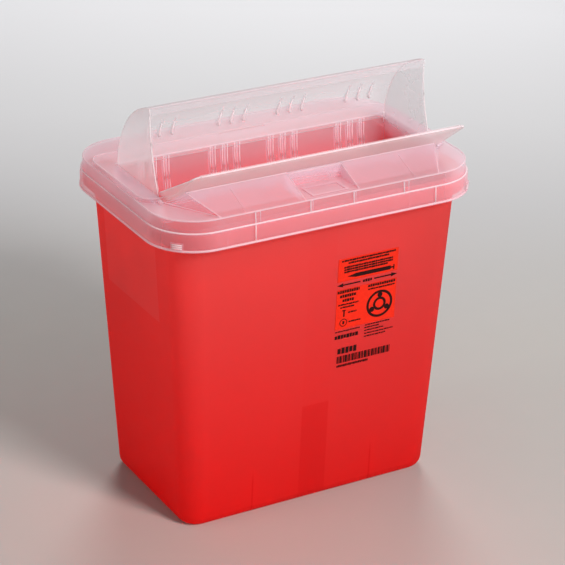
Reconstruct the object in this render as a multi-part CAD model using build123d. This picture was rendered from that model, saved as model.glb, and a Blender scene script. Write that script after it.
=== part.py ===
from build123d import *
import os
from math import cos, degrees, radians, sin

# A counter-top sharps container: a tapered tub, a clear lid that presses over its rim, and a
# two-piece door in the lid (a curved guard hood and a front flap) that turn about one axis.
# Frame: origin at the centre of the tub's underside, +X to the right, -Y to the front, +Z up.
# All lengths are in millimetres and all angles in degrees.

# --- Tub -------------------------------------------------------------------------------------
TUB_BASE_W = 214.8          # outer footprint of the wall, extended down to z = 0
TUB_BASE_D = 128.1
TUB_BASE_R = 16.0
TUB_H = 252.4               # floor to the top of the rim
TUB_DRAFT = 0.05375         # how far each wall leans out per millimetre of height
TUB_CORNER_GROWTH = 4.2     # corner radius gained from floor to rim
TUB_WALL = 1.8
TUB_FLOOR = 2.4
TUB_BASE_FILLET = 9.0
TUB_INNER_FILLET = 7.0
RIM_W, RIM_D, RIM_R = 261.2, 174.5, 36.0
RIM_T = 1.8
RIM_LIP_BOTTOM = 243.0
NEST_RIB_X = 52.0           # short ribs inside the foot of the tub keep stacked tubs apart
NEST_RIB_W = 2.0
NEST_RIB_IN = 4.8
NEST_RIB_Z = (5.0, 38.0)
BAND_W = 23.0               # moulded band down the middle of the front and rear walls
BAND_STEP_Z = 85.0
BAND_PAD = 0.8
BAND_GROOVE = 0.5

# --- Lid -------------------------------------------------------------------------------------
LID_T = 1.5
LID_W, LID_D, LID_R = 266.7, 180.0, 38.6      # over the bead round its lower edge
LID_Z0 = 240.1              # lower edge of the skirt
BEAD_H = 1.5
SKIRT_Z = 254.0             # top of the lower skirt
DECK_Z = 263.2              # deck round the door opening
PLATEAU_Z = 266.5           # flat collar at the ends and rear of the opening
SKIRT_INSET = (0.4, 0.9)    # skirt's inset from the bead, at its foot and at its top
TIER_INSET = (1.9, 3.1)     # upper tier's inset from the bead, at its foot and at its top
PLATEAU_X = 129.7
PLATEAU_Y = (-42.0, 55.0)
PLATEAU_R = 13.0
PLATEAU_DRAFT = 1.0
CREST_Y, CREST_Z = -58.0, 274.5               # top edge of the sloping front ramp
RAMP_FOOT = (-90.4, -86.5, DECK_Z)            # left foot of the ramp
RAMP_CREST = (-104.5, CREST_Y, CREST_Z)       # left end of its crest
RAMP_BACK = (-118.5, -40.0, 264.5)            # where its end facet dies into the collar
RAMP_REAR = ((-50.0, 267.2), (-45.2, 264.6))  # (y, z) points down the rear of the crest
CREASE_X = 70.5             # fine raised line up each half of the ramp
CREASE_HALF = 0.5
CREASE_Y = (-86.0, -62.0)
CREASE_PROUD, CREASE_DEPTH = 0.5, 0.6
FINGER_HALF = 22.5          # finger recess in the middle of the ramp
FINGER_BACK_Y = -59.5
FINGER_Z = 263.7
FRAME_SIZE = (30.0, 17.0)   # raised frame on the floor of the finger recess
FRAME_LINE = 1.8
FRAME_Y = -75.5
FRAME_PROUD, FRAME_DEPTH = 0.8, 0.4
REAR_NOTCH_HALF = 20.0
REAR_NOTCH_Y = 50.0
PANEL_X = (64.3, 87.0)      # shallow panels in the skirt
PANEL_DEPTH = 0.5
TIER_RIBS = ((62.0, 4.0), (18.0, 1.6))        # (x, width) of the ribs on the tier's front and rear
TIER_RIB_PROUD = 0.3
CATCH_W, CATCH_Z = 9.0, (242.0, 247.0)        # small catch on each corner of the skirt
CATCH_T = 1.6

# --- Door opening and chute ------------------------------------------------------------------
OPENING_X = 116.6
OPENING_FRONT_Y = -44.0
CHUTE_T = 1.4
CHUTE_FRONT_Z = 248.0
CHUTE_END_Z = 242.0
APRON_ANGLE = -21.0         # how far the curved rear apron reaches below the axis
CHUTE_RIB_Z = 258.5
CHUTE_RIB_H = 1.2
CHUTE_RIB_PROUD = 0.6
CHUTE_RIB_Y = (-32.0, 26.0)

# --- Door ------------------------------------------------------------------------------------
AXIS_Y, AXIS_Z = -38.0, 261.0
HOOD_R = 69.0
HOOD_T = 1.4
HOOD_X = 115.4              # outer face of the end plates
PLATE_T = 1.6
HOOD_FROM, HOOD_TO = 2.5, 78.0                # angles up from the rear horizontal
HOOD_LIP_R = 63.2
HOOD_LIP_T = 1.2
APRON_GAP = 0.6             # between the hood and the curved apron
EAR_R = 4.5
EAR_TOP = (2.4, 3.8)        # (y, z) from the axis to where the plate's free edge leaves its ear
EDGE_MIDDLE = (12.4, 36.0)  # (y, z) from the axis to the middle of that curved edge
PIVOT_R = 2.2
PIVOT_GAP = 0.06
PIVOT_TIP_X = 119.6
BOSS_R = 4.2
BOSS_TIP_X = 120.6
GROUP_X = (-85.0, -25.0, 25.0, 85.0)          # centres of the tooth groups and apron ribs
GROUP_PITCH = 10.5
TOOTH_W = 1.6
TOOTH_PROFILE = ((37.3, 0.2), (37.3, -0.6), (25.8, -1.6), (23.3, -3.2), (22.1, -3.0), (22.1, 0.2))
APRON_RIB_W = 4.4
APRON_RIB_OUT = 2.4

FLAP_ANGLE = 143.5          # the flap at rest, from the rear horizontal
FLAP_R = 62.3
FLAP_T = 1.6
FLAP_HALF = 112.6
FLAP_CORNER_R = 5.0
GUSSET_T = 1.4              # upright gussets along the flap's two side edges
GUSSET_TOP = (48.0, 8.0)    # angle and radius of a gusset's highest point, with the flap at rest
GUSSET_END_R = 56.0
FLAP_BEAD_R = 1.3
ROD_R = 2.0
CLIP_X = (-84.0, -28.0, 28.0, 84.0)
CLIP_W = 9.0
CLIP_R = 3.6
CLIP_GAP = 0.05
CLIP_MOUTH = (50.0, 130.0)
FLAP_NOTCH_HALF = 6.5
FLAP_NOTCH_R = 5.4

# --- Labels on the front wall ----------------------------------------------------------------
FILM = 0.3
LABEL_X = (13.4, 65.4)
UPPER_LABEL_Z = (185.4, 204.4)
LOWER_LABEL_Z = (145.2, 178.8)
ARROW_Z = 182.4
ARROW_GAP = 6.0
ARROW_HEAD = (5.0, 3.2)
ARROW_SHAFT = 1.0
NOTE_ROWS = (               # left end, right end, middle height and thickness of each printed row
    (13.7, 35.3, 143.2, 1.0),
    (13.7, 34.3, 138.5, 3.4),
    (39.8, 61.8, 143.9, 1.1),
    (39.5, 52.8, 141.7, 1.1),
    (39.5, 56.2, 139.3, 1.1),
    (39.7, 64.8, 136.7, 1.1),
    (39.6, 58.3, 134.2, 1.1),
)
CODE_X, CODE_Z = (16.6, 63.4), (115.8, 121.8)
CODE_BAR_WIDTHS = (0.8, 0.5, 1.3, 0.5, 0.9, 1.7, 0.6, 1.1, 0.5, 1.4)
CODE_GAP = 0.9
BLOCK_X, BLOCK_Z = (16.9, 33.8), (123.4, 128.9)
BLOCK_W, BLOCK_GAP = 2.6, 0.9
CODE_NOTE = (16.7, 44.8, 113.3, 2.0)


def rounded_slab(width, depth, radius, z0, z1):
    """An upright slab with rounded corners."""
    outline = Plane.XY.offset(z0) * RectangleRounded(width, depth, radius)
    return extrude(outline, z1 - z0)


def tapered_slab(lower, upper, z0, z1):
    """A slab that changes evenly from one rounded rectangle (width, depth, radius) to another."""
    faces = [Plane.XY.offset(z) * RectangleRounded(*size) for size, z in ((lower, z0), (upper, z1))]
    return loft(faces, ruled=True)


def box_between(x0, x1, y0, y1, z0, z1):
    """A box given by its limits."""
    middle = ((x0 + x1) / 2, (y0 + y1) / 2, (z0 + z1) / 2)
    return Pos(*middle) * Box(x1 - x0, y1 - y0, z1 - z0)


def side_prism(points, x0, x1):
    """A prism along X whose end face has the given (y, z) corners."""
    outline = make_face(Polyline(*[(x0, y, z) for y, z in points], close=True))
    return extrude(outline, x1 - x0, dir=(1, 0, 0))


def cylinder_x(radius, x0, x1, y, z):
    """A cylinder along X."""
    return Pos((x0 + x1) / 2, y, z) * Rot(0, 90, 0) * Cylinder(radius, x1 - x0)


def at_angle(angle, radius):
    """The (y, z) point at an angle and radius about the door's axis."""
    return (AXIS_Y + radius * cos(radians(angle)), AXIS_Z + radius * sin(radians(angle)))


def arc_face(inner, outer, start, end, x):
    """A face in the plane at x, between two radii and two angles about the door's axis."""
    middle = (start + end) / 2
    inner_arc = ThreePointArc(*[(x, *at_angle(a, inner)) for a in (start, middle, end)])
    outer_arc = ThreePointArc(*[(x, *at_angle(a, outer)) for a in (start, middle, end)])
    ends = [Line((x, *at_angle(a, inner)), (x, *at_angle(a, outer))) for a in (start, end)]
    return make_face([inner_arc, outer_arc, *ends])


def mirrored_x(shape):
    """A shape together with its mirror image across the middle of the width."""
    return shape + mirror(shape, about=Plane.YZ)


# --- Tub -------------------------------------------------------------------------------------
def tub_size(z, inset=0.0):
    """Width, depth and corner radius of the tub's wall at a height, moved in by inset."""
    lean = 2 * (TUB_DRAFT * z - inset)
    radius = TUB_BASE_R + TUB_CORNER_GROWTH * z / TUB_H - inset
    return TUB_BASE_W + lean, TUB_BASE_D + lean, radius


def front_wall_y(z, inset=0.0):
    """Where the front wall's surface lies at a height, moved in by inset."""
    return -tub_size(z)[1] / 2 + inset


def front_strip(x0, x1, z0, z1, inset0, inset1):
    """A strip that follows the front wall between two depths below its surface."""
    corners = [(z0, inset0), (z0, inset1), (z1, inset1), (z1, inset0)]
    return side_prism([(front_wall_y(z, inset), z) for z, inset in corners], x0, x1)


def both_walls(strip):
    """A strip on the front wall and its twin on the rear wall."""
    return strip + mirror(strip, about=Plane.XZ)


def make_tub():
    body = tapered_slab(tub_size(0), tub_size(TUB_H), 0, TUB_H)
    body = fillet(body.edges().group_by(Axis.Z)[0], TUB_BASE_FILLET)
    cavity = tapered_slab(tub_size(TUB_FLOOR, TUB_WALL), tub_size(TUB_H + 1, TUB_WALL), TUB_FLOOR, TUB_H + 1)
    cavity = fillet(cavity.edges().group_by(Axis.Z)[0], TUB_INNER_FILLET)

    rim = rounded_slab(RIM_W, RIM_D, RIM_R, RIM_LIP_BOTTOM, TUB_H)
    under_rim = rounded_slab(RIM_W - 2 * RIM_T, RIM_D - 2 * RIM_T, RIM_R - RIM_T,
                             RIM_LIP_BOTTOM, TUB_H - RIM_T)
    tub = body + (rim - under_rim) - cavity

    band_x = (-BAND_W / 2, BAND_W / 2)
    groove = front_strip(*band_x, BAND_STEP_Z, RIM_LIP_BOTTOM, TUB_WALL - BAND_GROOVE, TUB_WALL + 1)
    pad = front_strip(*band_x, TUB_BASE_FILLET, BAND_STEP_Z, TUB_WALL / 2, TUB_WALL + BAND_PAD)
    rib_x = (NEST_RIB_X - NEST_RIB_W / 2, NEST_RIB_X + NEST_RIB_W / 2)
    rib = mirrored_x(front_strip(*rib_x, *NEST_RIB_Z, TUB_WALL / 2, NEST_RIB_IN))
    inside_details = (both_walls(pad) + both_walls(rib)) & body
    return tub - both_walls(groove) + inside_details


# --- Lid -------------------------------------------------------------------------------------
def lid_size(inset):
    """Width, depth and corner radius of the lid, moved in by inset from its bead."""
    return LID_W - 2 * inset, LID_D - 2 * inset, LID_R - inset


def ramp_form(inset):
    """The sloping front ramp with its end facets and finger recess, its faces moved in by inset."""
    front_y, back_y = RAMP_FOOT[1], RAMP_REAR[-1][0]
    outline = Polyline(
        (front_y, SKIRT_Z), (front_y, DECK_Z), (CREST_Y, CREST_Z), *RAMP_REAR, (back_y, SKIRT_Z), close=True,
    )
    section = make_face(outline)
    if inset:
        section = offset(section, -inset, kind=Kind.INTERSECTION)
    half = abs(RAMP_BACK[0])
    ramp = extrude(Plane.YZ.offset(-half) * section, 2 * half)

    foot, crest, back = (Vector(*point) for point in (RAMP_FOOT, RAMP_CREST, RAMP_BACK))
    outward = (back - foot).cross(crest - foot).normalized()
    if outward.Z < 0:
        outward = -outward
    facet = Plane(origin=foot - outward * inset, z_dir=outward)
    for plane in (facet, Plane(origin=(-facet.origin.X, facet.origin.Y, facet.origin.Z),
                               z_dir=(-outward.X, outward.Y, outward.Z))):
        ramp = split(ramp, bisect_by=plane, keep=Keep.BOTTOM)

    recess_half = FINGER_HALF + inset
    recess = box_between(-recess_half, recess_half, -LID_D, FINGER_BACK_Y + inset,
                         FINGER_Z - inset, CREST_Z + 1)
    return ramp - recess


def plateau_form(inset):
    """The flat collar beside and behind the opening, its faces moved in by inset."""
    depth = PLATEAU_Y[1] - PLATEAU_Y[0]
    lower = (2 * (PLATEAU_X - inset), depth - 2 * inset, PLATEAU_R - inset)
    upper = (lower[0] - 2 * PLATEAU_DRAFT, lower[1] - 2 * PLATEAU_DRAFT, lower[2] - PLATEAU_DRAFT)
    collar = tapered_slab(lower, upper, DECK_Z - 2 * LID_T, PLATEAU_Z - inset)
    collar = Pos(0, (PLATEAU_Y[0] + PLATEAU_Y[1]) / 2, 0) * collar
    notch_half = REAR_NOTCH_HALF + inset
    notch = box_between(-notch_half, notch_half, REAR_NOTCH_Y - inset, LID_D, FINGER_Z - inset, PLATEAU_Z + 1)
    return collar - notch


def lid_form(inset):
    """The lid's whole outside shape, its faces moved in by inset."""
    below = 1.0 if inset else 0.0
    skirt = tapered_slab(lid_size(SKIRT_INSET[0] + inset), lid_size(SKIRT_INSET[1] + inset),
                         LID_Z0 - below, SKIRT_Z - inset)
    tier = tapered_slab(lid_size(TIER_INSET[0] + inset), lid_size(TIER_INSET[1] + inset),
                        SKIRT_Z - 2 * LID_T, DECK_Z - inset)
    return skirt + tier + plateau_form(inset) + ramp_form(inset)


def opening_form():
    """The space that the door opening and its chute leave clear."""
    rear_y = AXIS_Y + HOOD_R + APRON_GAP
    above = box_between(-OPENING_X, OPENING_X, OPENING_FRONT_Y, rear_y, AXIS_Z, CREST_Z + 10)
    drum = cylinder_x(HOOD_R + APRON_GAP, -OPENING_X, OPENING_X, AXIS_Y, AXIS_Z)
    below = drum & box_between(-OPENING_X, OPENING_X, OPENING_FRONT_Y, rear_y, LID_Z0 - 20, AXIS_Z)
    return above + below


def chute_walls():
    """Front, end and curved rear walls hanging from the opening."""
    wall_top = PLATEAU_Z - LID_T / 2
    rear_y = AXIS_Y + HOOD_R + APRON_GAP
    outer_x = OPENING_X + CHUTE_T
    front = box_between(-outer_x, outer_x, OPENING_FRONT_Y - CHUTE_T, OPENING_FRONT_Y,
                        CHUTE_FRONT_Z, DECK_Z + 1)
    end = box_between(OPENING_X, outer_x, OPENING_FRONT_Y - CHUTE_T, rear_y + CHUTE_T, CHUTE_END_Z, wall_top)
    rear = box_between(-outer_x, outer_x, rear_y, rear_y + CHUTE_T, AXIS_Z, wall_top)
    inner_r = HOOD_R + APRON_GAP
    apron_half = OPENING_X + CHUTE_T / 4
    apron_face = arc_face(inner_r, inner_r + CHUTE_T, APRON_ANGLE, 0, -apron_half)
    apron = extrude(apron_face, 2 * apron_half, dir=(1, 0, 0))
    rib_face = arc_face(inner_r + CHUTE_T / 2, inner_r + CHUTE_T + APRON_RIB_OUT, APRON_ANGLE, 0, 0)
    rib = extrude(rib_face, APRON_RIB_W, dir=(1, 0, 0))
    ribs = [Pos(x - APRON_RIB_W / 2, 0, 0) * rib for x in tooth_places()]
    return Part() + [front, *mirrored_x(end).solids(), rear, apron, *ribs]


def tooth_places():
    """X positions of the teeth on the hood, which the apron's ribs share."""
    return [middle + step * GROUP_PITCH for middle in GROUP_X for step in (-1, 0, 1)]


def hinge_clip(x):
    """An open clip that holds the flap's rod, with its web to the chute's front wall."""
    length = (x - CLIP_W / 2, x + CLIP_W / 2)
    ring = cylinder_x(CLIP_R, *length, AXIS_Y, AXIS_Z)
    web = box_between(*length, OPENING_FRONT_Y - CHUTE_T / 2, AXIS_Y, AXIS_Z - CLIP_R, AXIS_Z)
    bore = cylinder_x(ROD_R + CLIP_GAP, *length, AXIS_Y, AXIS_Z)
    mouth_corners = [(AXIS_Y, AXIS_Z)] + [at_angle(angle, 3 * CLIP_R) for angle in CLIP_MOUTH]
    mouth = side_prism(mouth_corners, *length)
    return ring + web - bore - mouth


def ramp_crease(x):
    """A fine raised line that runs up the ramp."""
    slope = (CREST_Z - DECK_Z) / (CREST_Y - RAMP_FOOT[1])
    low, high = ((y, DECK_Z + slope * (y - RAMP_FOOT[1])) for y in CREASE_Y)
    steps = [(low, -CREASE_DEPTH), (low, CREASE_PROUD), (high, CREASE_PROUD), (high, -CREASE_DEPTH)]
    return side_prism([(y, z + step) for (y, z), step in steps], x - CREASE_HALF, x + CREASE_HALF)


def lid_trim():
    """Raised lines, ribs and catches on the outside of the lid."""
    bead = rounded_slab(*lid_size(0), LID_Z0, LID_Z0 + BEAD_H)
    bead -= rounded_slab(*lid_size(LID_T), LID_Z0, LID_Z0 + BEAD_H)

    tier_front = -LID_D / 2 + TIER_INSET[0]
    pieces = [bead]
    for x, width in TIER_RIBS:
        rib = box_between(x - width / 2, x + width / 2, tier_front - TIER_RIB_PROUD, tier_front + LID_T,
                          SKIRT_Z - LID_T / 2, DECK_Z - 0.2)
        pieces += both_walls(mirrored_x(rib)).solids()

    corner_x, corner_y = LID_W / 2 - LID_R, LID_D / 2 - LID_R
    catch_radius = LID_R - SKIRT_INSET[0]
    for sx in (-1, 1):
        for sy in (-1, 1):
            catch = Box(CATCH_T, CATCH_W, CATCH_Z[1] - CATCH_Z[0])
            turn = Rot(0, 0, 45 * sx * sy)
            place = Pos(sx * (corner_x + catch_radius * cos(radians(45))),
                        sy * (corner_y + catch_radius * sin(radians(45))), sum(CATCH_Z) / 2)
            pieces.append(place * turn * catch)

    pieces += [ramp_crease(x) for x in (-CREASE_X, CREASE_X)]
    frame = Rectangle(*FRAME_SIZE) - Rectangle(*(side - 2 * FRAME_LINE for side in FRAME_SIZE))
    frame_foot = Plane.XY.offset(FINGER_Z - FRAME_DEPTH)
    pieces.append(extrude(frame_foot * Pos(0, FRAME_Y) * frame, FRAME_DEPTH + FRAME_PROUD))

    chute_rib = box_between(OPENING_X - CHUTE_RIB_PROUD, OPENING_X + CHUTE_T / 2, *CHUTE_RIB_Y,
                            CHUTE_RIB_Z, CHUTE_RIB_Z + CHUTE_RIB_H)
    pieces += mirrored_x(chute_rib).solids()
    return pieces


def make_lid():
    shell = lid_form(0) - lid_form(LID_T)
    lid = shell + chute_walls() - opening_form()
    lid += [hinge_clip(x) for x in CLIP_X]
    lid += lid_trim()

    skirt_front = -LID_D / 2 + SKIRT_INSET[0]
    panel = box_between(*PANEL_X, -LID_D / 2 - 1, skirt_front + PANEL_DEPTH, LID_Z0 + BEAD_H, SKIRT_Z - 0.6)
    lid -= both_walls(mirrored_x(panel))

    boss = cylinder_x(BOSS_R, OPENING_X + CHUTE_T / 2, BOSS_TIP_X, AXIS_Y, AXIS_Z)
    bore = cylinder_x(PIVOT_R + PIVOT_GAP, OPENING_X - 2, BOSS_TIP_X + 1, AXIS_Y, AXIS_Z)
    return lid + mirrored_x(boss) - mirrored_x(bore)


# --- Door ------------------------------------------------------------------------------------
def plate_face(x):
    """One end plate of the hood: a sector with an ear round the pivot."""
    top = (x, *at_angle(HOOD_TO, HOOD_R))
    middle = (x, *at_angle((HOOD_FROM + HOOD_TO) / 2, HOOD_R))
    foot = (x, *at_angle(HOOD_FROM, HOOD_R))
    ear_bottom = (x, AXIS_Y, AXIS_Z - EAR_R)
    ear_back = (x, AXIS_Y - EAR_R, AXIS_Z)
    ear_top = (x, AXIS_Y + EAR_TOP[0], AXIS_Z + EAR_TOP[1])
    edge_middle = (x, AXIS_Y + EDGE_MIDDLE[0], AXIS_Z + EDGE_MIDDLE[1])
    return make_face([
        ThreePointArc(foot, middle, top),
        ThreePointArc(top, edge_middle, ear_top),
        ThreePointArc(ear_top, ear_back, ear_bottom),
        Line(ear_bottom, foot),
    ])


def hood_tooth(x):
    """A wedge-shaped tooth on the inside of the hood."""
    inner = HOOD_R - HOOD_T
    corners = [at_angle(angle, inner + step) for angle, step in TOOTH_PROFILE]
    return side_prism(corners, x - TOOTH_W / 2, x + TOOTH_W / 2)


def make_hood():
    sheet_face = arc_face(HOOD_R - HOOD_T, HOOD_R, HOOD_FROM, HOOD_TO, -HOOD_X)
    sheet = extrude(sheet_face, 2 * HOOD_X, dir=(1, 0, 0))
    lip_angle = degrees(HOOD_LIP_T / HOOD_R)
    lip_face = arc_face(HOOD_LIP_R, HOOD_R - HOOD_T / 2, HOOD_TO - lip_angle, HOOD_TO, -HOOD_X)
    lip = extrude(lip_face, 2 * HOOD_X, dir=(1, 0, 0))
    plate = extrude(plate_face(HOOD_X - PLATE_T), PLATE_T, dir=(1, 0, 0))
    pivot = cylinder_x(PIVOT_R, HOOD_X - PLATE_T / 2, PIVOT_TIP_X, AXIS_Y, AXIS_Z)
    return sheet + lip + mirrored_x(plate) + mirrored_x(pivot) + [hood_tooth(x) for x in tooth_places()]


def make_flap():
    outward = (0, cos(radians(FLAP_ANGLE)), sin(radians(FLAP_ANGLE)))
    normal = Vector(1, 0, 0).cross(Vector(*outward))
    plane = Plane(origin=(0, AXIS_Y, AXIS_Z), x_dir=(1, 0, 0), z_dir=normal)

    tip_r = FLAP_R - FLAP_BEAD_R
    outline = Pos(0, tip_r / 2) * Rectangle(2 * FLAP_HALF, tip_r)
    outline = fillet(outline.vertices().group_by(Axis.Y)[-1], FLAP_CORNER_R)
    for x in CLIP_X:
        outline -= Pos(x, 0) * Rectangle(2 * FLAP_NOTCH_HALF, 2 * FLAP_NOTCH_R)
    sheet = extrude(plane * outline, FLAP_T / 2, both=True)

    gusset_corners = [(AXIS_Y, AXIS_Z), at_angle(*GUSSET_TOP), at_angle(FLAP_ANGLE, GUSSET_END_R)]
    gusset = side_prism(gusset_corners, FLAP_HALF - GUSSET_T, FLAP_HALF)
    rod = cylinder_x(ROD_R, -FLAP_HALF, FLAP_HALF, AXIS_Y, AXIS_Z)
    bead_half = FLAP_HALF - FLAP_CORNER_R
    bead_y, bead_z = at_angle(FLAP_ANGLE, tip_r)
    bead = cylinder_x(FLAP_BEAD_R, -bead_half, bead_half, bead_y, bead_z)
    return sheet + mirrored_x(gusset) + rod + bead


# --- Labels ----------------------------------------------------------------------------------
def film(x0, x1, z0, z1):
    """A thin film on the outside of the front wall."""
    return front_strip(x0, x1, z0, z1, -FILM, 0)


def make_fill_arrows():
    """Two arrows that mark the fill level, pointing away from each other."""
    middle = sum(LABEL_X) / 2
    arrows = []
    for side in (-1, 1):
        tip_x = middle + side * (LABEL_X[1] - LABEL_X[0]) / 2
        neck_x = tip_x - side * ARROW_HEAD[0]
        root_x = middle + side * ARROW_GAP
        outline = Polyline(
            (root_x, -ARROW_SHAFT / 2), (neck_x, -ARROW_SHAFT / 2), (neck_x, -ARROW_HEAD[1] / 2), (tip_x, 0),
            (neck_x, ARROW_HEAD[1] / 2), (neck_x, ARROW_SHAFT / 2), (root_x, ARROW_SHAFT / 2), close=True,
        )
        prism = extrude(Plane.XZ * Pos(0, ARROW_Z) * make_face(outline), TUB_BASE_D)
        arrows.append(prism & film(min(root_x, tip_x), max(root_x, tip_x),
                                   ARROW_Z - ARROW_HEAD[1], ARROW_Z + ARROW_HEAD[1]))
    return Compound(children=[solid for arrow in arrows for solid in arrow.solids()])


def printed_row(x0, x1, z, thickness):
    """One printed row, given its ends, middle height and thickness."""
    return film(x0, x1, z - thickness / 2, z + thickness / 2)


def spread_bars(x_range, z_range, widths, gap):
    """Upright bars from left to right, their widths taken in turn."""
    bars = []
    x = x_range[0]
    while x + widths[len(bars) % len(widths)] <= x_range[1]:
        width = widths[len(bars) % len(widths)]
        bars.append(film(x, x + width, *z_range))
        x += width + gap
    return bars


def make_note_lines():
    """Rows of printed lines below the lower label."""
    return Compound(children=[printed_row(*row).solid() for row in NOTE_ROWS])


def make_code_bars():
    """A row of blocks, a row of upright bars of mixed widths and a line below them."""
    pieces = spread_bars(BLOCK_X, BLOCK_Z, (BLOCK_W,), BLOCK_GAP)
    pieces += spread_bars(CODE_X, CODE_Z, CODE_BAR_WIDTHS, CODE_GAP)
    pieces.append(printed_row(*CODE_NOTE))
    return Compound(children=[piece.solid() for piece in pieces])


NODES = {
    "tub": make_tub,
    "lid": make_lid,
    "guard_hood": make_hood,
    "front_flap": make_flap,
    "upper_label": lambda: film(*LABEL_X, *UPPER_LABEL_Z),
    "lower_label": lambda: film(*LABEL_X, *LOWER_LABEL_Z),
    "fill_level_arrows": make_fill_arrows,
    "printed_note_lines": make_note_lines,
    "printed_code_bars": make_code_bars,
}

os.makedirs("parts", exist_ok=True)
for name, make in NODES.items():
    shape = make()
    export_step(shape, f"parts/{name}.step")
    print(name, len(shape.solids()), "solid(s)", round(shape.volume / 1000, 2), "cm3")
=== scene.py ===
import math

import bpy
from mathutils import Matrix, Vector


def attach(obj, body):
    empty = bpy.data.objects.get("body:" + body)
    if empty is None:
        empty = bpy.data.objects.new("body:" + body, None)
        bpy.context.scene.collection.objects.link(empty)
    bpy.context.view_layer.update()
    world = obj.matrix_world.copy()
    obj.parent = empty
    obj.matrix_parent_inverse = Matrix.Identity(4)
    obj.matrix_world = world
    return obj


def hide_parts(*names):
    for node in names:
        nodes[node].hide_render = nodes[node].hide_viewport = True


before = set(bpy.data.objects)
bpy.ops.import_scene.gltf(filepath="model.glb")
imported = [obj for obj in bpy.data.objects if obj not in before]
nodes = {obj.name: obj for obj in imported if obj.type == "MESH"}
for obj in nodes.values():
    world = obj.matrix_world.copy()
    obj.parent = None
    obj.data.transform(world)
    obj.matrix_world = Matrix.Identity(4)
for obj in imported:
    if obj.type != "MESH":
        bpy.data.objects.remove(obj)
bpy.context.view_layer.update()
scene = bpy.context.scene
MM = 0.001

# ---------------------------------------------------------------- camera
VIEW_AZIMUTH, VIEW_ELEVATION, VIEW_ROLL = math.radians(-29.71), math.radians(24.92), math.radians(0.90)
VIEW_DISTANCE = 1.94815
VIEW_TARGET = Vector((0.09119, 0.14441, 0.07905))
SENSOR = 36.0
PICTURE_PX = 565
FOCAL_PX = 2289.85

back = Vector((math.sin(VIEW_AZIMUTH) * math.cos(VIEW_ELEVATION),
               -math.cos(VIEW_AZIMUTH) * math.cos(VIEW_ELEVATION), math.sin(VIEW_ELEVATION)))
level_right = (-back).cross(Vector((0, 0, 1))).normalized()
level_up = level_right.cross(-back)
right = level_right * math.cos(VIEW_ROLL) + level_up * math.sin(VIEW_ROLL)
up = -level_right * math.sin(VIEW_ROLL) + level_up * math.cos(VIEW_ROLL)
turn = Matrix((right, up, back)).transposed().to_4x4()
camera = bpy.data.objects.new("camera", bpy.data.cameras.new("camera"))
camera.data.lens = FOCAL_PX * SENSOR / PICTURE_PX
camera.data.sensor_width = SENSOR
camera.matrix_world = Matrix.Translation(VIEW_TARGET + back * VIEW_DISTANCE) @ turn
scene.collection.objects.link(camera)
scene.camera = camera
scene.view_settings.view_transform = "Standard"
scene.cycles.transparent_max_bounces = 32
scene.cycles.max_bounces = 16


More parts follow.
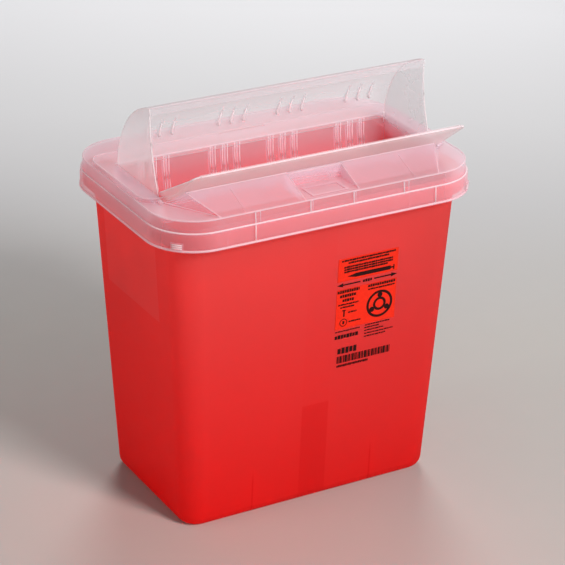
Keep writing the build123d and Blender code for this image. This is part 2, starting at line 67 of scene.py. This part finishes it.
# ---------------------------------------------------------------- material helpers
class Graph:
    """A material's node tree, with short calls to add and join nodes. Lengths are in metres."""

    def __init__(self, name):
        self.material = bpy.data.materials.new(name)
        self.material.use_nodes = True
        self.tree = self.material.node_tree
        self.tree.nodes.clear()
        self.output = self.add("ShaderNodeOutputMaterial")
        self.place = self.add("ShaderNodeTexCoord").outputs["Object"]

    def add(self, kind, **settings):
        node = self.tree.nodes.new(kind)
        for key, value in settings.items():
            setattr(node, key, value)
        return node

    def join(self, source, target):
        self.tree.links.new(source, target)

    def axes(self, source=None):
        """The x, y and z of a position, by default of the point being shaded."""
        split = self.add("ShaderNodeSeparateXYZ")
        self.join(source or self.place, split.inputs[0])
        return tuple(split.outputs)

    def noise(self, scale, detail=3.0, roughness=0.55, stretch=None):
        """Noise in object space; stretch scales the coordinates first."""
        node = self.add("ShaderNodeTexNoise")
        node.inputs["Scale"].default_value = scale
        node.inputs["Detail"].default_value = detail
        node.inputs["Roughness"].default_value = roughness
        where = self.place
        if stretch:
            mapping = self.add("ShaderNodeMapping")
            mapping.inputs["Scale"].default_value = stretch
            self.join(self.place, mapping.inputs["Vector"])
            where = mapping.outputs["Vector"]
        self.join(where, node.inputs["Vector"])
        return node.outputs["Fac"]

    def ramp(self, source, stops):
        """A colour ramp; stops are (position, colour)."""
        node = self.add("ShaderNodeValToRGB")
        elements = node.color_ramp.elements
        while len(elements) < len(stops):
            elements.new(0.5)
        for element, (position, colour) in zip(elements, stops):
            element.position = position
            element.color = (*colour, 1.0)
        self.join(source, node.inputs["Fac"])
        return node.outputs["Color"]

    def scaled(self, source, low, high, to_low, to_high):
        """A value carried from one range to another and held there."""
        node = self.add("ShaderNodeMapRange")
        for key, value in (("From Min", low), ("From Max", high), ("To Min", to_low), ("To Max", to_high)):
            node.inputs[key].default_value = value
        self.join(source, node.inputs["Value"])
        return node.outputs["Result"]

    def above(self, source, limit, soft):
        """1 where a value is over a limit and 0 under it."""
        return self.scaled(source, limit - soft, limit + soft, 0.0, 1.0)

    def below(self, source, limit, soft):
        """1 where a value is under a limit and 0 over it."""
        return self.scaled(source, limit + soft, limit - soft, 0.0, 1.0)

    def math(self, operation, first, second=None):
        """A value from one or two others; the second may be a number."""
        node = self.add("ShaderNodeMath", operation=operation)
        self.join(first, node.inputs[0])
        if isinstance(second, float):
            node.inputs[1].default_value = second
        elif second is not None:
            self.join(second, node.inputs[1])
        return node.outputs[0]

    def product(self, first, *others):
        for other in others:
            first = self.math("MULTIPLY", first, other)
        return first

    def mix_colour(self, share, first, second):
        node = self.add("ShaderNodeMix", data_type="RGBA")
        self.join(share, node.inputs["Factor"])
        for value, socket in ((first, node.inputs[6]), (second, node.inputs[7])):
            if isinstance(value, tuple):
                socket.default_value = (*value, 1.0)
            else:
                self.join(value, socket)
        return node.outputs[2]

    def bump(self, height, strength, distance, under=None):
        """A normal from a height; under is the normal that it adds to."""
        node = self.add("ShaderNodeBump")
        node.inputs["Strength"].default_value = strength
        node.inputs["Distance"].default_value = distance
        self.join(height, node.inputs["Height"])
        if under is not None:
            self.join(under, node.inputs["Normal"])
        return node.outputs["Normal"]

    def mix_shader(self, share, first, second):
        node = self.add("ShaderNodeMixShader")
        if isinstance(share, float):
            node.inputs[0].default_value = share
        else:
            self.join(share, node.inputs[0])
        self.join(first, node.inputs[1])
        self.join(second, node.inputs[2])
        return node.outputs[0]

    def finish(self, shader):
        self.join(shader, self.output.inputs["Surface"])
        return self.material


def set_material(piece, material):
    piece.data.materials.clear()
    piece.data.materials.append(material)


# ---------------------------------------------------------------- materials
BAND_HALF_W, BAND_TOP = 0.0115, 0.085        # the thicker band up the middle of the front and rear
FOOT_RIB, FOOT_RIB_TOP = (0.0514, 0.0526), 0.034    # the short ribs either side of it
FRONT_FROM = (-0.055, -0.060)                # depth over which those ribs come in
PANEL_Y, PANEL_FOOT = (-0.039, 0.047), 0.167    # the plain panel on each end wall
END_WALL = 0.1005
PLASTIC_THROUGH = 0.77                       # share of the tub's look that is light passing through


def tub_material():
    """Translucent red polypropylene: a soft sheen over a colour that light passes through."""
    g = Graph("red_translucent_plastic")
    x, y, z = g.axes()
    level = g.scaled(z, 0.0, 0.25, 0.0, 1.0)
    # painted light: the red is deeper at the bottom and painted paler and lighter towards the top, where more
    # light falls
    body = g.ramp(level, [(0.0, (0.88, 0.028, 0.026)), (0.5, (0.85, 0.115, 0.110)),
                          (1.0, (0.78, 0.225, 0.215))])
    streaks = g.noise(9.0, 4.0, 0.5, stretch=(1.0, 1.0, 0.25))
    colour = g.mix_colour(g.scaled(streaks, 0.35, 0.65, 0.0, 0.12), body, (0.92, 0.15, 0.14))

    across = g.math("ABSOLUTE", x)
    band_depth = g.scaled(g.below(z, BAND_TOP, 0.0006), 0.0, 1.0, 0.06, 0.45)
    band = g.product(g.below(across, BAND_HALF_W, 0.0003), band_depth)
    foot = g.product(g.above(across, FOOT_RIB[0], 0.0004), g.below(across, FOOT_RIB[1], 0.0004),
                     g.below(z, FOOT_RIB_TOP, 0.005), g.scaled(y, *FRONT_FROM, 0.0, 0.85))
    thick = g.math("MAXIMUM", band, foot)
    panel = g.product(g.above(y, PANEL_Y[0], 0.0004), g.below(y, PANEL_Y[1], 0.0004),
                      g.above(z, PANEL_FOOT, 0.0004), g.above(across, END_WALL, 0.0005))
    pale = g.product(panel, 0.35)
    colour = g.mix_colour(pale, g.mix_colour(thick, colour, (0.72, 0.026, 0.026)), (0.86, 0.34, 0.33))

    surface = g.add("ShaderNodeBsdfPrincipled")
    g.join(colour, surface.inputs["Base Color"])
    g.join(g.scaled(g.noise(60.0, 4.0), 0.3, 0.7, 0.34, 0.44), surface.inputs["Roughness"])
    surface.inputs["IOR"].default_value = 1.45
    surface.inputs["Specular IOR Level"].default_value = 0.25
    wave = g.bump(g.math("ADD", g.noise(14.0, 2.0), g.product(panel, 0.2)), 0.25, 0.0015)
    g.join(g.bump(g.noise(1400.0, 2.0), 0.12, 0.0001, under=wave), surface.inputs["Normal"])

    through = g.add("ShaderNodeBsdfTranslucent")
    # painted light: the colour that light passes through is also painted slightly paler towards the top
    lit = g.ramp(level, [(0.0, (0.955, 0.038, 0.034)), (1.0, (0.93, 0.062, 0.057))])
    lit = g.mix_colour(thick, g.mix_colour(pale, lit, (0.95, 0.15, 0.14)), (0.90, 0.024, 0.024))
    g.join(lit, through.inputs["Color"])
    return g.finish(g.mix_shader(PLASTIC_THROUGH, surface.outputs[0], through.outputs[0]))


def clear_material(name, clear_face, clear_edge, milk, tint=(0.995, 0.955, 0.972), painted_red_glow=None):
    """Natural clear plastic: see-through square on, milkier where it is seen on edge.

    The colour given for below the tub's rim is painted light: a pink that stands in for the tub's red glow in
    the clear plastic.
    """
    g = Graph(name)
    cloud = g.noise(30.0, 3.0, 0.5)
    milky = g.mix_colour(g.scaled(cloud, 0.3, 0.7, 0.0, 1.0), milk, tuple(c * 0.96 for c in milk))
    # painted red light: below the tub's rim the plastic is painted pink for the tub's red glow
    if painted_red_glow:
        milky = g.mix_colour(g.below(g.axes()[2], 0.256, 0.006), milky, painted_red_glow)
    surface = g.add("ShaderNodeBsdfPrincipled")
    g.join(milky, surface.inputs["Base Color"])
    g.join(g.scaled(g.noise(90.0, 3.0), 0.3, 0.7, 0.28, 0.38), surface.inputs["Roughness"])
    surface.inputs["IOR"].default_value = 1.49
    g.join(g.bump(g.noise(12.0, 1.0), 0.06, 0.001), surface.inputs["Normal"])
    glow = g.add("ShaderNodeBsdfTranslucent")
    g.join(milky, glow.inputs["Color"])
    solid = g.mix_shader(0.5, surface.outputs[0], glow.outputs[0])
    clear = g.add("ShaderNodeBsdfTransparent")
    clear.inputs["Color"].default_value = (*tint, 1.0)
    edge = g.add("ShaderNodeLayerWeight")
    edge.inputs["Blend"].default_value = 0.35
    share = g.scaled(edge.outputs["Facing"], 0.0, 1.0, 1.0 - clear_face, 1.0 - clear_edge)
    uneven = g.math("ADD", share, g.scaled(cloud, 0.3, 0.7, -0.012, 0.012))
    return g.finish(g.mix_shader(uneven, clear.outputs[0], solid))


def film_material(name, low, high, roughness=0.45, gloss=0.2):
    """A printed film or ink with faint mottling."""
    g = Graph(name)
    surface = g.add("ShaderNodeBsdfPrincipled")
    mottle = g.scaled(g.noise(260.0, 5.0, 0.7), 0.3, 0.7, 0.0, 1.0)
    g.join(g.mix_colour(mottle, low, high), surface.inputs["Base Color"])
    sheen = g.scaled(g.noise(400.0, 2.0), 0.3, 0.7, roughness - 0.06, roughness + 0.06)
    g.join(sheen, surface.inputs["Roughness"])
    surface.inputs["Specular IOR Level"].default_value = gloss
    g.join(g.bump(g.noise(900.0, 2.0), 0.15, 0.0001), surface.inputs["Normal"])
    return g.finish(surface.outputs[0])


RED = tub_material()
LID_CLEAR = clear_material("clear_lid_plastic", 0.86, 0.17, (0.95, 0.90, 0.965), painted_red_glow=(1.0, 0.74, 0.82))
HOOD_CLEAR = clear_material("clear_hood_plastic", 0.87, 0.50, (0.90, 0.90, 0.915), tint=(0.98, 0.98, 0.985))
FLAP_CLEAR = clear_material("clear_flap_plastic", 0.88, 0.36, (0.98, 0.89, 0.885))
# the edge beads are real moulded edges drawn in a whiter, less clear plastic, which is partly a painted
# highlight
EDGE_HIGHLIGHT_CLEAR = clear_material("clear_plastic_edges_painted_highlight", 0.25, 0.05, (1.0, 0.97, 0.98))
SOFT_EDGE_HIGHLIGHT = clear_material("clear_plastic_soft_edges_painted_highlight", 0.66, 0.35, (1.0, 0.93, 0.955))
ORANGE = film_material("orange_label_film", (0.66, 0.014, 0.002), (0.72, 0.020, 0.003))
INK = film_material("black_print", (0.012, 0.003, 0.003), (0.024, 0.006, 0.005), 0.5, 0.08)

for name, material in (("tub", RED), ("lid", LID_CLEAR), ("guard_hood", HOOD_CLEAR),
                       ("front_flap", FLAP_CLEAR), ("upper_label", ORANGE), ("lower_label", ORANGE),
                       ("fill_level_arrows", INK), ("printed_note_lines", INK), ("printed_code_bars", INK)):
    set_material(nodes[name], material)


# ---------------------------------------------------------------- shapes of the moulded edges, in millimetres
def new_piece(name, parts, body, material, smooth=True):
    """A mesh from several (vertices, faces) pairs, riding on a body."""
    verts, faces = [], []
    for part_verts, part_faces in parts:
        start = len(verts)
        verts += part_verts
        faces += [tuple(start + i for i in face) for face in part_faces]
    mesh = bpy.data.meshes.new(name)
    mesh.from_pydata([Vector(v) * MM for v in verts], [], faces)
    mesh.validate()
    for polygon in mesh.polygons:
        polygon.use_smooth = smooth
    piece = bpy.data.objects.new(name, mesh)
    scene.collection.objects.link(piece)
    set_material(piece, material)
    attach(piece, body)
    return piece


def tube(path, radius, closed=False, sides=8):
    """Vertices and faces of a round bead along a path."""
    verts, faces = [], []
    count = len(path)
    points = [Vector(p) for p in path]
    for i, point in enumerate(points):
        before = points[i - 1] if closed or i else point
        after = points[(i + 1) % count] if closed or i < count - 1 else point
        along = (after - before).normalized()
        side = along.cross(Vector((0, 0, 1)))
        if side.length < 0.2:
            side = along.cross(Vector((0, 1, 0)))
        side.normalize()
        lift = side.cross(along)
        for k in range(sides):
            around = 2 * math.pi * k / sides
            verts.append(point + (side * math.cos(around) + lift * math.sin(around)) * radius)
    for i in range(count if closed else count - 1):
        for k in range(sides):
            a, b = i * sides + k, i * sides + (k + 1) % sides
            c, d = ((i + 1) % count) * sides + (k + 1) % sides, ((i + 1) % count) * sides + k
            faces.append((a, b, c, d))
    if not closed:
        faces.append(tuple(range(sides))[::-1])
        faces.append(tuple((count - 1) * sides + k for k in range(sides)))
    return verts, faces


def rounded_path(width, depth, radius, z, centre_y=0.0, steps=14):
    """A closed rounded rectangle at a height."""
    path = []
    for quarter, (sx, sy) in enumerate(((1, 1), (-1, 1), (-1, -1), (1, -1))):
        cx, cy = sx * (width / 2 - radius), centre_y + sy * (depth / 2 - radius)
        for i in range(steps + 1):
            angle = math.radians(90 * (quarter + i / steps))
            path.append((cx + radius * math.cos(angle), cy + radius * math.sin(angle), z))
    return path


def dense(corners, step=8.0):
    """A path through corners with points added along its straight runs."""
    path = []
    for start, end in zip(corners, corners[1:]):
        start, end = Vector(start), Vector(end)
        count = max(1, int((end - start).length / step))
        path += [start.lerp(end, i / count) for i in range(count)]
    return path + [Vector(corners[-1])]


def both_sides(corners):
    """A path and its mirror image across the width."""
    return [corners, [(-x, y, z) for x, y, z in corners]]


AXIS_Y, AXIS_Z = -38.0, 261.0    # the line that the hood and the flap turn on


def on_arc(angle, radius, x):
    """A point about the door's axis; angle 0 points to the rear, 90 straight up."""
    around = math.radians(angle)
    return (x, AXIS_Y + radius * math.cos(around), AXIS_Z + radius * math.sin(around))


# ---------------------------------------------------------------- edges of the lid
TOOTH_X = [middle + step * 10.5 for middle in (-85.0, -25.0, 25.0, 85.0) for step in (-1, 0, 1)]
BRIGHT_RINGS = (((265.2, 178.5, 37.85, 240.95), 0.75),    # foot of the skirt
                ((263.4, 176.7, 36.95, 254.1), 0.6))      # bead above it
SOFT_RINGS = (((260.3, 173.6, 35.4, 263.1), 0.6),         # rim of the upper tier
              ((257.2, 94.8, 11.9, 266.4, 6.5), 0.5))     # collar's foot
FACET_CORNER = (90.4, -86.3, 263.3)
RIDGE_Y, RIDGE_Z = -58, 274.3
RECESS_X = 22.5
RIB_TURN = range(0, -21, -3)
RIB_HALF_W = 2.1
CATCH_MIDDLE, CATCH_HALF_W = (122.1, -78.75), 3.8

lid_bright = [tube(rounded_path(*ring), radius, closed=True) for ring, radius in BRIGHT_RINGS]
lid_soft = [tube(rounded_path(*ring), radius, closed=True) for ring, radius in SOFT_RINGS]
opening = [(-116.6, -41.5, 266.3), (-116.6, 31.9, 266.4), (116.6, 31.9, 266.4), (116.6, -41.5, 266.3)]
lid_soft.append(tube(dense(opening), 0.5))
for start, end in ((-104.3, -22.6), (22.6, 104.3)):
    lid_soft.append(tube(dense([(start, RIDGE_Y, RIDGE_Z), (end, RIDGE_Y, RIDGE_Z)]), 0.45))
for far_end in ((104.4, -58.1, 274.3), (118.3, -40.4, 264.5)):
    for path in both_sides([FACET_CORNER, far_end]):
        lid_soft.append(tube(dense(path), 0.35))
for x in (-RECESS_X, RECESS_X):
    lid_soft.append(tube(dense([(x, -86.0, 263.9), (x, -59.5, 273.9)]), 0.35))
lid_soft.append(tube(dense([(-RECESS_X, -59.3, 273.9), (RECESS_X, -59.3, 273.9)]), 0.35))
for x in TOOTH_X:    # the chute's ribs: two bright edges and a softer face
    for edge in (x - RIB_HALF_W, x + RIB_HALF_W):
        path = [(edge, 31.85, 265.6)] + [on_arc(a, 69.85, edge) for a in RIB_TURN]
        lid_bright.append(tube(path, 0.35, sides=6))
    lid_soft.append(tube([(x, 32.5, 265.0)] + [on_arc(a, 70.45, x) for a in RIB_TURN], 0.7))
for side in (-1, 1):    # the small catch low on each front corner
    for z in (243.0, 244.4, 245.8):
        middle = Vector((side * CATCH_MIDDLE[0], CATCH_MIDDLE[1], z))
        along = Vector((side * 0.7071, 0.7071, 0)) * CATCH_HALF_W
        lid_bright.append(tube([middle - along, middle + along], 0.55, sides=6))
for x in (-64.3, 87.0):    # upright lines on the skirt, then on the tier above
    lid_bright.append(tube([(x, -89.3, 241.8), (x, -89.0, 253.6)], 0.5, sides=6))
for x in (-64.0, -18.9, 17.1, 60.0):
    lid_bright.append(tube([(x, -88.2, 254.6), (x, -87.6, 262.6)], 0.45, sides=6))
new_piece("lid_bright_edges", lid_bright, "lid_body", EDGE_HIGHLIGHT_CLEAR)
new_piece("lid_soft_edges", lid_soft, "lid_body", SOFT_EDGE_HIGHLIGHT)

# ---------------------------------------------------------------- edges of the hood
HOOD_END_X = 114.9
HOOD_FRONT = ((-35.8, 265.4), (-31.2, 278.0), (-27.4, 290.0), (-24.7, 303.0), (-23.6, 316.0), (-23.4, 327.6))
HOOD_LIP = (77.4, 68.4)    # angle and radius
TOOTH = ((33.0, 66.7), (25.8, 66.1), (23.4, 64.9), (22.6, 64.9), (22.6, 67.2))    # the same along a tooth

hood_bright = []
for x in (-HOOD_END_X, HOOD_END_X):
    hood_bright.append(tube([on_arc(a, 68.5, x) for a in range(-1, 78, 3)], 0.48))
    hood_bright.append(tube(dense([(x, y, z) for y, z in HOOD_FRONT], step=3.0), 0.35))
for x in TOOTH_X:
    hood_bright.append(tube([on_arc(angle, radius, x) for angle, radius in TOOTH], 0.62, sides=6))
hood_soft = [tube(dense([on_arc(*HOOD_LIP, -HOOD_END_X), on_arc(*HOOD_LIP, HOOD_END_X)]), 0.3)]
new_piece("hood_bright_edges", hood_bright, "hood_body", EDGE_HIGHLIGHT_CLEAR)
new_piece("hood_soft_edges", hood_soft, "hood_body", SOFT_EDGE_HIGHLIGHT)

# ---------------------------------------------------------------- edges of the flap
FLAP_ANGLE = 143.5
FLAP_TIP, FLAP_END_X = 61.3, 111.9
FLAP_CORNER_X, FLAP_CORNER, FLAP_CORNER_R = 107.6, 56.3, 5.0

flap_bright = [tube(dense([on_arc(FLAP_ANGLE, FLAP_TIP, x) for x in (-FLAP_CORNER_X, FLAP_CORNER_X)]), 0.6)]
for side in (-1, 1):
    x = side * FLAP_END_X
    path = dense([on_arc(48.0, 7.7, x), on_arc(FLAP_ANGLE, 55.5, x)], step=4.0)
    for degrees in range(90, -1, -15):
        around = math.radians(degrees)
        corner_x = side * (FLAP_CORNER_X + FLAP_CORNER_R * math.sin(around)) - side * 0.6
        path.append(Vector(on_arc(FLAP_ANGLE, FLAP_CORNER + FLAP_CORNER_R * math.cos(around), corner_x)))
    flap_bright.append(tube(path, 0.55))
new_piece("flap_bright_edges", flap_bright, "flap_body", EDGE_HIGHLIGHT_CLEAR)

# ---------------------------------------------------------------- printing on the front, in millimetres
WALL_FOOT_Y, WALL_LEAN = 128.1 / 2, 0.05375
ON_LABEL, ON_WALL = 0.42, 0.34    # how far a mark stands proud of the wall
MARK_T = 0.12
FINE = (1.9, 2.7, 1.2, 2.2, 3.1, 1.5)    # dash lengths
BOLD = (1.7, 1.4, 1.9, 1.5)
BAR_W = (0.9, 0.45, 1.5, 0.5, 0.9, 2.0, 0.5, 1.2, 0.45, 1.6, 0.7)
BAR_GAP = (0.45, 0.6, 0.4, 0.8)


def wall_y(z, proud):
    """Where a mark stands on the front wall at a height, proud of it by that much."""
    return -(WALL_FOOT_Y + WALL_LEAN * z) - proud


def flat_mark(outline, proud):
    """A thin plate with the given (x, z) outline on the front wall."""
    count = len(outline)
    front = [(x, wall_y(z, proud), z) for x, z in outline]
    rear = [(x, wall_y(z, proud - MARK_T), z) for x, z in outline]
    faces = [tuple(range(count)), tuple(range(2 * count - 1, count - 1, -1))]
    faces += [(i, i + count, (i + 1) % count + count, (i + 1) % count) for i in range(count)]
    return front + rear, faces


def bar_mark(x0, x1, z, height, proud):
    low, high = z - height / 2, z + height / 2
    return flat_mark([(x0, low), (x1, low), (x1, high), (x0, high)], proud)


def broken_row(x0, x1, z, height, proud, lengths, gap):
    """A row of short dashes that reads as a line of fine print."""
    marks = []
    x, n = x0, 0
    while x < x1 - 0.4:
        end = min(x + lengths[n % len(lengths)], x1)
        level, tall = z + (0.06 if n % 2 else -0.06), height * (1.0 if n % 3 else 0.86)
        marks.append(bar_mark(x, end, level, tall, proud))
        x = end + gap
        n += 1
    return marks


def ring_mark(x, z, outer, inner, proud, steps=40):
    """A flat ring made of short plates."""
    parts = []
    for i in range(steps):
        a, b = (math.radians(360 * k / steps) for k in (i, i + 1))
        outline = [(x + radius * math.cos(at), z + radius * math.sin(at))
                   for radius, at in ((outer, b), (inner, b), (inner, a), (outer, a))]
        parts.append(flat_mark(outline, proud))
    return parts


def label_marks():
    """Fine print, a pointer, bold rows and ring signs on the two orange panels."""
    marks = []
    for x0, x1, z in ((16.1, 62.8, 202.5), (21.9, 57.2, 200.2), (18.5, 60.7, 197.0), (18.6, 60.9, 195.0),
                      (18.7, 57.0, 193.0)):
        marks += broken_row(x0, x1, z, 1.5, ON_LABEL, FINE, 0.3)
    pointer = [(21.4, 189.0), (29.0, 187.4), (59.3, 187.2), (59.3, 190.4), (29.0, 190.6)]
    marks.append(flat_mark(pointer, ON_LABEL))
    marks += [bar_mark(59.3, 61.6, 188.8, 1.2, ON_LABEL), bar_mark(61.6, 62.6, 188.8, 4.0, ON_LABEL)]
    for x0, x1, z, height in ((14.0, 33.0, 176.9, 2.6), (16.3, 30.5, 173.1, 2.5), (18.6, 28.7, 169.3, 2.4),
                              (40.4, 64.2, 177.0, 2.2)):
        marks += broken_row(x0, x1, z, height, ON_LABEL, BOLD, 0.38)
    for x0, x1, z in ((15.1, 32.6, 165.9), (17.0, 29.0, 163.5), (24.1, 31.5, 158.5), (25.0, 35.3, 150.4),
                      (40.6, 64.5, 174.1)):
        marks += broken_row(x0, x1, z, 1.25, ON_LABEL, FINE, 0.3)
    marks += [bar_mark(19.9, 21.1, 158.2, 5.6, ON_LABEL), bar_mark(18.9, 22.1, 160.8, 0.8, ON_LABEL)]
    marks += ring_mark(20.4, 150.5, 3.3, 2.7, ON_LABEL, steps=24)
    marks.append(bar_mark(19.6, 21.2, 150.5, 2.6, ON_LABEL))

    sign_x, sign_z, spoke = 51.4, 160.0, 7.5
    marks += ring_mark(sign_x, sign_z, 11.4, 9.4, ON_LABEL)
    marks += ring_mark(sign_x, sign_z, 5.6, 3.6, ON_LABEL, steps=30)
    for degrees in (90, 210, 330):
        around = math.radians(degrees)
        marks += ring_mark(sign_x + spoke * math.cos(around), sign_z + spoke * math.sin(around), 2.2, 0.01,
                           ON_LABEL, steps=16)
    return marks


def note_marks():
    """Rows of fine print below the panels, and one bolder row."""
    marks = []
    for x0, x1, z, height in ((13.7, 35.3, 143.2, 0.9), (39.8, 61.8, 143.9, 1.0), (39.5, 52.8, 141.7, 1.0),
                              (39.5, 56.2, 139.3, 1.0), (39.7, 64.8, 136.7, 1.0), (39.6, 58.3, 134.2, 1.0)):
        marks += broken_row(x0, x1, z, height, ON_WALL, FINE, 0.4)
    return marks + broken_row(13.7, 34.3, 138.5, 3.2, ON_WALL, (2.0, 2.4, 1.8), 0.5)


def code_marks():
    """Blocks, a row of uneven bars that encodes nothing, and a fine row under it."""
    marks = broken_row(16.9, 33.8, 126.2, 5.2, ON_WALL, (2.7,), 0.75)
    marks += broken_row(16.7, 44.8, 113.3, 1.9, ON_WALL, (1.1, 1.5, 0.9), 0.3)
    x, n = 16.6, 0
    while x < 63.0:
        width = BAR_W[n % len(BAR_W)]
        marks.append(bar_mark(x, min(x + width, 63.4), 118.8, 6.0, ON_WALL))
        x += width + BAR_GAP[n % len(BAR_GAP)]
        n += 1
    return marks


def printed(name, marks):
    return new_piece(name, marks, "tub_body", INK, smooth=False)


printed("label_printing", label_marks())
notes = printed("note_printing", note_marks())
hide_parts("printed_note_lines")
bars = printed("code_printing", code_marks())
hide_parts("printed_code_bars")
printed("fill_level_word", broken_row(35.6, 43.4, 182.4, 2.3, ON_WALL, (1.6,), 0.5))


# ---------------------------------------------------------------- floor and light
def floor_material():
    """Pale paper with painted light: darker and warmer in the foreground, brighter and cooler in the
    distance.
    """
    g = Graph("pale_floor")
    surface = g.add("ShaderNodeBsdfPrincipled")
    turned = g.add("ShaderNodeMapping")
    turned.inputs["Rotation"].default_value = (0.0, 0.0, -VIEW_AZIMUTH)
    g.join(g.place, turned.inputs["Vector"])
    depth = g.scaled(g.axes(turned.outputs["Vector"])[1], -0.12, 1.15, 0.0, 1.0)
    # painted light falloff across the floor, along the view
    painted_light_falloff = g.ramp(depth, [(0.0, (0.385, 0.372, 0.350)), (0.28, (0.432, 0.424, 0.402)),
                           (0.40, (0.450, 0.446, 0.436)), (0.52, (0.495, 0.495, 0.498)),
                           (0.70, (0.590, 0.590, 0.598)), (1.0, (0.700, 0.700, 0.716))])
    mottle = g.scaled(g.noise(3.0, 3.0), 0.3, 0.7, 0.0, 0.05)
    g.join(g.mix_colour(mottle, painted_light_falloff, (0.56, 0.55, 0.54)), surface.inputs["Base Color"])
    g.join(g.scaled(g.noise(40.0, 3.0), 0.3, 0.7, 0.7, 0.8), surface.inputs["Roughness"])
    surface.inputs["Specular IOR Level"].default_value = 0.15
    return g.finish(surface.outputs[0])


floor_mesh = bpy.data.meshes.new("floor")
floor_mesh.from_pydata([(-6, -6, 0), (6, -6, 0), (6, 8, 0), (-6, 8, 0)], [], [(0, 1, 2, 3)])
floor = bpy.data.objects.new("floor", floor_mesh)
scene.collection.objects.link(floor)
floor.data.materials.append(floor_material())


def area_light(name, azimuth, elevation, distance, size, power, colour=(1.0, 1.0, 1.0), aim=(0, 0, 0.13),
               spread=180):
    """A soft light in metres, watts and degrees; azimuth 0 is in front of its aim, 90 to the right."""
    a, e = math.radians(azimuth), math.radians(elevation)
    away = Vector((math.sin(a) * math.cos(e), -math.cos(a) * math.cos(e), math.sin(e)))
    light = bpy.data.objects.new(name, bpy.data.lights.new(name, "AREA"))
    light.data.shape = "DISK"
    light.data.size = size
    light.data.energy = power
    light.data.color = colour
    light.data.spread = math.radians(spread)
    light.location = Vector(aim) + away * distance
    light.rotation_mode = "QUATERNION"
    light.rotation_quaternion = away.to_track_quat("Z", "Y")
    scene.collection.objects.link(light)


WARM, RED_LIGHT = (1.0, 0.93, 0.90), (1.0, 0.06, 0.05)    # the red is what the tub throws on the floor
area_light("key_light", 15, 31, 2.2, 0.7, 51)
area_light("back_light", 150, 40, 2.2, 0.9, 26)
area_light("left_fill", -100, 8, 2.0, 1.0, 12, WARM)
area_light("front_bounce", -14, 50, 0.9, 0.5, 0.6, RED_LIGHT)
area_light("floor_glow", 24, 38, 0.75, 0.2, 0.15, RED_LIGHT, aim=(-0.10, -0.15, 0.0), spread=36)
world = bpy.data.worlds.new("studio")
world.use_nodes = True
sky = world.node_tree.nodes["Background"]
sky.inputs["Color"].default_value = (0.98, 0.99, 1.0, 1.0)
sky.inputs["Strength"].default_value = 0.21
scene.world = world
